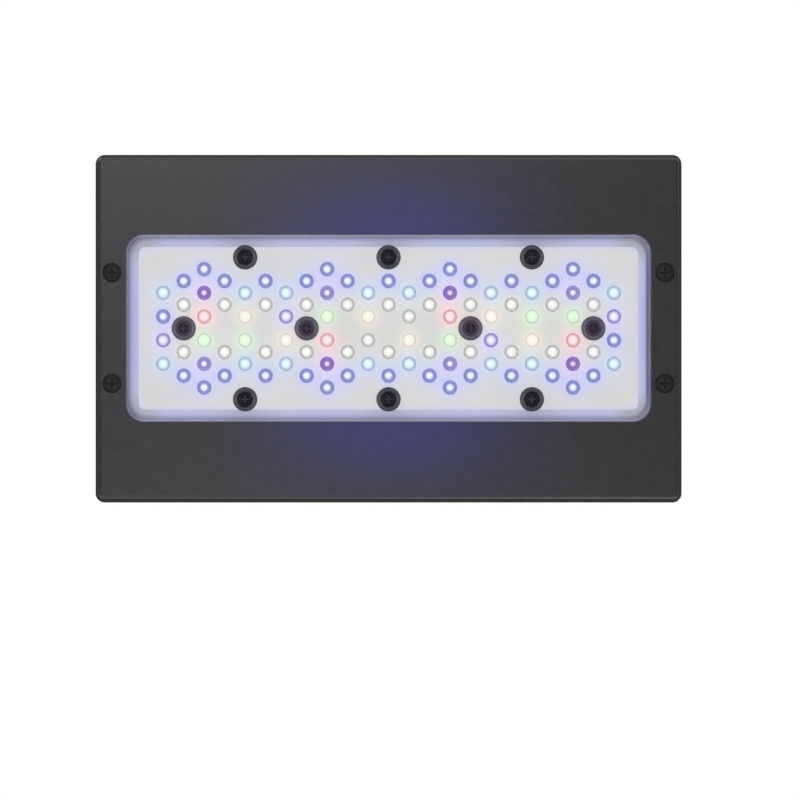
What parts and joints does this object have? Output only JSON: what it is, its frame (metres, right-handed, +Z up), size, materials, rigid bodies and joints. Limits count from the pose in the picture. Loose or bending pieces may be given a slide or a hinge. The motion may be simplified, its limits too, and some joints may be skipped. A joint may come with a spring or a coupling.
{
  "type": "led aquarium light",
  "caption": "Slim rectangular aquarium light: flared housing, lit LED window underneath, finned heat sink with fan, and a top plate whose edges form slide rails.",
  "frame": {"origin": "middle of the flat underside of the housing, at its lower rim", "axes": "+Z up as the light hangs in use, LEDs facing -Z; +X along the length, towards the power inlet"},
  "size_m": [0.3, 0.178, 0.0358],
  "materials": {
    "powder_coat": "fine charcoal powder coat on cast aluminium",
    "anodised_dark": "dark blue-black anodised aluminium",
    "black_metal": "black anodised, satin",
    "black_screw": "black oxide",
    "steel": "bright steel",
    "grey_rubber": "soft grey silicone",
    "clear_lens": "clear moulded acrylic",
    "white_frame": "white moulded plastic",
    "white_board": "white solder mask on an aluminium board",
    "emitter": "phosphor-coated chip",
    "black_plastic": "black moulded plastic",
    "white_plastic": "white moulded plastic",
    "bronze": "plain bronze",
    "copper_winding": "lacquered copper wire on iron poles",
    "magnet": "sintered ferrite",
    "can_metal": "drawn aluminium can",
    "circuit_board": "green solder mask",
    "light_pipe": "clear moulded plastic",
    "blue_led": "clear silicone dome, lit",
    "white_led": "clear silicone dome, lit",
    "cyan_led": "clear silicone dome, lit",
    "violet_led": "clear silicone dome, lit",
    "ultraviolet_led": "clear silicone dome, lit",
    "red_led": "clear silicone dome, lit",
    "green_led": "clear silicone dome, lit",
    "warm_led": "clear silicone dome, lit"
  },
  "bodies": {
    "light": {"lower_housing": "powder_coat", "housing_screws": "black_screw", "lens_gasket": "grey_rubber", "lens_cover": "clear_lens", "reflector_frame": "white_frame", "led_board": "white_board", "led_emitters": "emitter", "blue_leds": "blue_led", "white_leds": "white_led", "cyan_leds": "cyan_led", "violet_leds": "violet_led", "ultraviolet_leds": "ultraviolet_led", "red_leds": "red_led", "green_leds": "green_led", "warm_leds": "warm_led", "board_clamps": "black_plastic", "board_screws": "black_screw", "thermal_pad": "grey_rubber", "heat_sink": "anodised_dark", "top_deck": "powder_coat", "rail_plate": "anodised_dark", "plate_screws": "black_screw", "hanging_posts": "black_metal", "middle_spacers": "black_metal", "fan_frame": "black_plastic", "fan_bush": "bronze", "fan_stator": "copper_winding", "fan_screws": "black_screw", "fan_guard": "black_plastic", "power_inlet": "black_plastic", "inlet_pin": "bronze", "inlet_nut": "steel", "button_switch": "black_plastic", "switch_board": "circuit_board", "status_light": "light_pipe", "driver_board": "circuit_board", "driver_coils": "magnet", "driver_capacitors": "can_metal", "driver_connectors": "white_plastic", "control_board": "circuit_board", "radio_module": "steel", "controller_chip": "black_plastic", "circuit_screws": "steel"},
    "fan_wheel": {"fan_rotor": "black_plastic", "rotor_magnet": "magnet", "fan_shaft": "steel"},
    "button": {"control_button": "black_plastic", "switch_plunger": "white_plastic"}
  },
  "joints": [
    {"name": "fan_spin", "type": "hinge", "parent": "light", "child": "fan_wheel", "pos_m": [0, 0, 0.0256], "axis": [0, 0, 1], "continuous": true},
    {"name": "button_press", "type": "slide", "parent": "light", "child": "button", "axis": [0, 0, -1], "range_m": [0, 0.0008], "stiffness_N_per_m": 2500}
  ]
}
